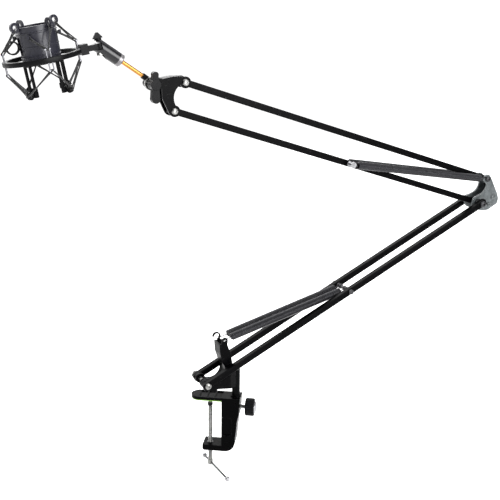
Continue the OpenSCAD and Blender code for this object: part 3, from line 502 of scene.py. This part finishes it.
def doubled_cord(name, a, a_across, b, b_across, b_onward, b_width, b_depth, node):
    """A cord that runs from the ring's staple to the cradle and back, as one closed loop."""
    line = (b - a).normalized()
    a_across = (a_across - line * a_across.dot(line)).normalized()
    if a_across.dot(b_across) < 0:
        a_across = -a_across
    ring_end = half_loop(a, -a_across, -line, 1.0, 1.0)
    cradle_end = half_loop(b, b_across, b_onward, b_width, b_depth)
    length = (b - a).length

    def run(side, flip):
        out = []
        for i in range(1, STRAND_STEPS):
            u = i / STRAND_STEPS
            twist = (a_across * (1 - u) + b_across * u).normalized()
            if u < 0.6:
                pinch = 1.0 * (1 - u) ** 3 + 0.5 * (1 - (1 - u) ** 3)
            else:
                pinch = 0.5 + (b_width - 0.5) * ((u - 0.6) / 0.4) ** 2
            out.append(a + line * (length * u) + twist * (side * pinch * MM))
        return out[::-1] if flip else out

    path = ring_end + run(1, False) + cradle_end + run(-1, True)
    verts, faces, uvs = tube(path, CORD_R * MM, sides=8, closed=True)
    cord = add_piece(name, verts, faces, MATS["elastic"], "elastic", uvs)
    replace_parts(cord, node)
    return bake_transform(cord)


RING_R, HOOK_H = 32.0, 8.9
LOOP_R, LOOP_TURN, LOOP_Z = 20.6, 25.0, 28.8
TAB_R, TAB_TURN, TAB_Z = 19.3, -32.0, 18.9
LEG_R, LEG_TURN, LEG_Z = 26.6, 35.0, -28.0


def direction(degrees, tangent=False):
    """The ring's outward direction at an angle, or the one along its rim."""
    a = math.radians(degrees + (90 if tangent else 0))
    return RING_OUT * math.cos(a) + RING_SIDE * math.sin(a)


def make_elastics():
    wall = 3.25
    for k in range(4):
        station = 90 * k
        tangent = direction(station, True)
        staple_up = [polar(RING_R, station + s * 1.6, HOOK_H) for s in (-1, 1)]
        staple_down = [polar(RING_R, station + s * 1.6, -HOOK_H) for s in (-1, 1)]

        eye = polar(LOOP_R, station + LOOP_TURN, LOOP_Z)
        to_hook = (staple_up[1] - eye).normalized()
        eye_axis = direction(station + LOOP_TURN, True)
        to_hook = (to_hook - eye_axis * to_hook.dot(eye_axis)).normalized()
        doubled_cord(f"elastic_loop_{k}", staple_up[1], tangent.cross(to_hook), eye + to_hook * wall * MM,
                     eye_axis, -to_hook, 1.6, 1.65, "elastic_upper")

        tab = polar(TAB_R, station + TAB_TURN, TAB_Z)
        line = (tab - staple_up[0]).normalized()
        doubled_cord(f"elastic_tab_{k}", staple_up[0], tangent.cross(line), tab,
                     direction(station + TAB_TURN, True), RING_AXIS, 1.62, 1.4, "elastic_upper")

        for s, tag in ((1, "a"), (-1, "b")):
            angle = station + LEG_TURN + 45 * (s - 1)
            foot = polar(LEG_R, angle, LEG_Z + 0.42 * s)
            hook = staple_down[(s + 1) // 2]
            line = (foot - hook).normalized()
            doubled_cord(f"elastic_leg_{k}{tag}", hook, tangent.cross(line), foot, direction(angle),
                         direction(angle, True) * s, 1.2, 1.55, "elastic_lower")


# ---------- threads ----------

def threaded(name, matrix, radius, z0, z1, pitch, depth, mat, slot):
    """A rod along matrix's z with a real thread cut in it, in mm."""
    sides, per_pitch = 28, 8
    rows = int((z1 - z0) / pitch * per_pitch)
    verts, faces = [], []
    for i in range(rows + 1):
        z = z0 + (z1 - z0) * i / rows
        ends = min(1.0, (z - z0) / pitch, (z1 - z) / pitch)
        for k in range(sides):
            a = 2 * math.pi * k / sides
            phase = (z / pitch - k / sides) % 1.0
            tooth = abs(phase * 2 - 1)
            r = radius - depth * min(1.0, max(0.0, 1.25 * tooth - 0.12)) - 0.3 * depth * (1 - ends)
            verts.append(matrix @ Vector((r * MM * math.cos(a), r * MM * math.sin(a), z * MM)))
    for i in range(rows):
        for k in range(sides):
            j = (k + 1) % sides
            faces.append((i * sides + k, i * sides + j, (i + 1) * sides + j, (i + 1) * sides + k))
    faces += [tuple(range(sides)), tuple(rows * sides + k for k in range(sides))]
    return add_piece(name, verts, faces, mat, slot)


def cut_hole(obj, centre, axis, radius):
    """Drills a round hole through obj along axis."""
    bpy.ops.mesh.primitive_cylinder_add(vertices=32, radius=radius * MM, depth=30 * MM, location=centre,
                                        rotation=axis.to_track_quat("Z", "Y").to_euler())
    drill = bpy.context.object
    cut = obj.modifiers.new("cut", "BOOLEAN")
    cut.operation, cut.solver, cut.object = "DIFFERENCE", "EXACT", drill
    bpy.context.view_layer.objects.active = obj
    bpy.context.view_layer.update()
    depsgraph = bpy.context.evaluated_depsgraph_get()
    shape = bpy.data.meshes.new_from_object(obj.evaluated_get(depsgraph))
    obj.modifiers.clear()
    obj.data = shape
    bpy.data.objects.remove(drill)
    return obj


def make_threads():
    low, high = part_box("clamp_screw")
    head, neck = low.z / MM, high.z / MM - 1.6
    screw = threaded("clamp_screw_thread", Matrix(), 2.2, head + 5.0, neck, 1.0, 0.42, MATS["zinc_steel"],
                     "zinc_steel")
    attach(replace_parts(screw, "clamp_screw"), "clamp_screw_turn")
    tip = lathe([(AXIS, neck - 0.3), (1.5, neck - 0.3), (1.5, neck + 1.5), (AXIS, neck + 1.5)],
                Matrix(), 32)
    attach(add_piece("clamp_screw_tip", *tip, MATS["zinc_steel"], "zinc_steel"), "clamp_screw_turn")
    eye = box_centre("tommy_bar").z / MM
    half = eye - head
    profile = [(AXIS, head), (2.3, head), (2.75, head + 0.35), (2.9, head + 0.9), (2.9, eye + half - 0.9),
               (2.7, eye + half - 0.25), (2.3, eye + half), (AXIS, eye + half)]
    knob = add_piece("clamp_screw_head", *lathe(profile, Matrix(), 48), MATS["zinc_steel"], "zinc_steel")
    knob = sharp_smooth(cut_hole(knob, Vector((0, 0, eye * MM)), TOMMY_OUT, 1.06))
    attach(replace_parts(knob, "clamp_screw"), "clamp_screw_turn")

    centre = joint_at("lock_knob_turn")
    along = CLAMP_OUT
    side = UP.cross(along)
    matrix = frame_matrix(centre, side, along.cross(side), along)
    lock = threaded("lock_screw_thread", matrix, 2.0, 2.7, 14.0, 0.8, 0.3, MATS["zinc_steel"], "zinc_steel")
    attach(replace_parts(lock, "lock_screw"), "lock")


# ---------- ring, shell bands and pads ----------

def make_ring():
    outer, inner, half = 34.0, 30.0, 2.1
    ring = add_piece("mount_ring_body", *lathe(rounded_profile(inner, outer, -half, half, 0.55), MOUNT, 128),
                     MATS["black_plastic"], "black_plastic")
    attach(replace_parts(ring, "mount_ring"), "shock_mount")


def shell_radius(z):
    return 16.7 + 0.7 * (z + 1.4) / 23.4


def make_shell_bands():
    """Raised seams round the cradle's shell, open where the handles come through."""
    for name, z, height, proud in (("shell_band_mid", 11.0, 1.1, 0.38), ("shell_band_low", 2.4, 0.8, 0.3)):
        r = shell_radius(z)
        profile = rounded_profile(r - 0.3, r + proud, z - height / 2, z + height / 2, 0.22, 3)
        start, sweep = (-155, 310) if z > 4 else (0, 360)
        band = add_piece(name, *lathe(profile, MOUNT, 96, start, sweep), MATS["shell_gloss"], "black_gloss")
        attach(sharp_smooth(band, 50), "cradle")


def make_table_pad():
    """The soft sheet under the clamp's tongue, with rounded rims."""
    half, reach, end = 9.25, 19.8, 13.4
    arc = [(-reach + 9.5 + half * math.cos(a), half * math.sin(a))
           for a in (math.radians(90 + 180 * i / 32) for i in range(33))]
    outline = arc + [(end, -half), (end, half)]
    layers = [(0.0, 0.35), (0.12, 0.1), (0.35, 0.0), (0.95, 0.0), (1.2, 0.08), (1.28, 0.3)]
    verts, faces = [], []
    middle = Vector((-3, 0))
    for z, inset in layers:
        for x, y in outline:
            p = Vector((x, y))
            inward = (middle - p).normalized()
            q = p + inward * inset
            verts.append(CLAMP @ Vector((q.x * MM, q.y * MM, z * MM)))
    count = len(outline)
    for i in range(len(layers) - 1):
        for k in range(count):
            j = (k + 1) % count
            faces.append((i * count + k, i * count + j, (i + 1) * count + j, (i + 1) * count + k))
    faces += [tuple(range(count)), tuple((len(layers) - 1) * count + k for k in range(count))]
    pad = add_piece("table_pad_soft", verts, faces, MATS["pad_rubber"], "pad_rubber")
    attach(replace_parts(sharp_smooth(pad, 45), "table_pad"), "clamp")


def ribbed_half_sleeve(name, side, node, body):
    """A soft grip pad: half a sleeve with upright ribs on its inner face."""
    r_out, r_in, z0, z1, gap, ribs = 12.0, 11.05, 2.0, 24.0, 10.5, 26
    steps = ribs * 4
    verts, faces = [], []
    for i in range(steps + 1):
        a = math.radians(gap + (180 - 2 * gap) * i / steps)
        rib = 0.22 * (0.5 + 0.5 * math.cos(2 * math.pi * i / 4))
        inner = r_in + rib
        ring = [(r_out, z0 + 0.3), (r_out, z1 - 0.3), (r_out - 0.25, z1), (inner + 0.25, z1),
                (inner, z1 - 0.3), (inner, z0 + 0.3), (inner + 0.25, z0), (r_out - 0.25, z0)]
        for r, z in ring:
            verts.append(MOUNT @ Vector((r * MM * math.cos(a), side * r * MM * math.sin(a), z * MM)))
    m = 8
    for i in range(steps):
        for k in range(m):
            j = (k + 1) % m
            faces.append((i * m + k, i * m + j, (i + 1) * m + j, (i + 1) * m + k))
    faces += [tuple(range(m)), tuple(steps * m + k for k in range(m))]
    pad = add_piece(name, verts, faces, MATS["grip_rubber"], "grip_rubber")
    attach(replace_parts(sharp_smooth(pad, 50), node), body)


# ---------- camera, light and floor ----------

CAMERA_AT = Vector((-0.3199, -0.8001, 0.3987))
CAMERA_DIR = Vector((0.3991, 0.8776, -0.2657)).normalized()
CAMERA_ROLL = math.radians(0.68)
CAMERA_LENS = 64.03
FLOOR_GLOW = 0.6


def make_camera():
    camera = bpy.data.objects.new("camera", bpy.data.cameras.new("camera"))
    bpy.context.scene.collection.objects.link(camera)
    camera.data.lens, camera.data.sensor_width = CAMERA_LENS, 36.0
    camera.data.clip_start, camera.data.clip_end = 0.01, 50.0
    level = CAMERA_DIR.cross(UP).normalized()
    upward = level.cross(CAMERA_DIR)
    right = level * math.cos(CAMERA_ROLL) + upward * math.sin(CAMERA_ROLL)
    above = right.cross(CAMERA_DIR)
    camera.matrix_world = frame_matrix(CAMERA_AT, right, above, -CAMERA_DIR)
    bpy.context.scene.camera = camera


def softbox(name, at, target, width, height, watts, spread=180):
    light = bpy.data.lights.new(name, "AREA")
    light.shape, light.size, light.size_y = "RECTANGLE", width, height
    light.energy, light.spread = watts, math.radians(spread)
    obj = bpy.data.objects.new(name, light)
    bpy.context.scene.collection.objects.link(obj)
    obj.location = at
    obj.rotation_euler = (Vector(target) - Vector(at)).to_track_quat("-Z", "Y").to_euler()


def make_world():
    """A white backdrop for what looks past the object, and a dimmer room that lights it."""
    world = bpy.data.worlds.new("studio")
    bpy.context.scene.world = world
    world.use_nodes = True
    n = Nodes(world.node_tree)
    way = n.add("ShaderNodeTexCoord").outputs["Generated"]
    split = n.add("ShaderNodeSeparateXYZ", {0: way})
    height = n.spread(split.outputs[2], -0.1, 0.9, 0.28, 0.62)
    room = n.add("ShaderNodeBackground", {"Color": (1, 1, 1, 1), "Strength": height})
    plain = n.add("ShaderNodeBackground", {"Color": (1, 1, 1, 1), "Strength": 1.15})
    seen = n.add("ShaderNodeLightPath").outputs["Is Camera Ray"]
    both = n.add("ShaderNodeMixShader", {0: seen, 1: room.outputs[0], 2: plain.outputs[0]})
    n.add("ShaderNodeOutputWorld", {"Surface": both.outputs[0]})


def make_floor():
    level, size = CAD_BOX[0].z - 0.4 * MM, 6.0
    verts = [(-size, -size, level), (size, -size, level), (size, size, level), (-size, size, level)]
    mat = bpy.data.materials.new("floor")
    mat.use_nodes = True
    n = Nodes(mat.node_tree)
    coords = n.add("ShaderNodeTexCoord").outputs["Object"]
    tone = n.spread(n.noise(coords, 3.0, 2.0), 0.3, 0.7, 0.0, 1.0)
    base = n.mix(tone, (0.90, 0.90, 0.90, 1), (0.93, 0.93, 0.93, 1))
    shader = n.add("ShaderNodeBsdfPrincipled", {
        "Base Color": base, "Roughness": 0.9, "Specular IOR Level": 0.0,
        "Emission Color": (1, 1, 1, 1), "Emission Strength": FLOOR_GLOW})
    n.add("ShaderNodeOutputMaterial", {"Surface": shader.outputs[0]})
    mesh = bpy.data.meshes.new("floor")
    mesh.from_pydata(verts, [], [(0, 1, 2, 3)])
    mesh.materials.append(mat)
    floor = bpy.data.objects.new("floor", mesh)
    bpy.context.scene.collection.objects.link(floor)


def make_light():
    make_world()
    make_floor()
    middle = (0.05, 0.0, 0.15)
    softbox("top_box", (0.0, -0.1, 1.7), middle, 2.6, 2.2, 32)
    softbox("front_right_box", RING_CENTRE + Vector((0.40, -1.10, 0.26)), RING_CENTRE, 1.0, 1.0, 6.5, 70)
    softbox("back_left_box", (-1.1, 1.0, 0.9), middle, 1.0, 1.2, 14)
    softbox("back_box", (0.15, 1.7, 1.05), middle, 2.4, 1.0, 27)
    bpy.context.scene.view_settings.view_transform = "Standard"


make_camera()
dress_cad_nodes()
make_springs()
make_elastics()
make_threads()
make_ring()
make_shell_bands()
make_table_pad()
ribbed_half_sleeve("jaw_pad_front_soft", -1, "jaw_pad_front", "front_jaw")
ribbed_half_sleeve("jaw_pad_back_soft", 1, "jaw_pad_back", "back_jaw")
make_light()
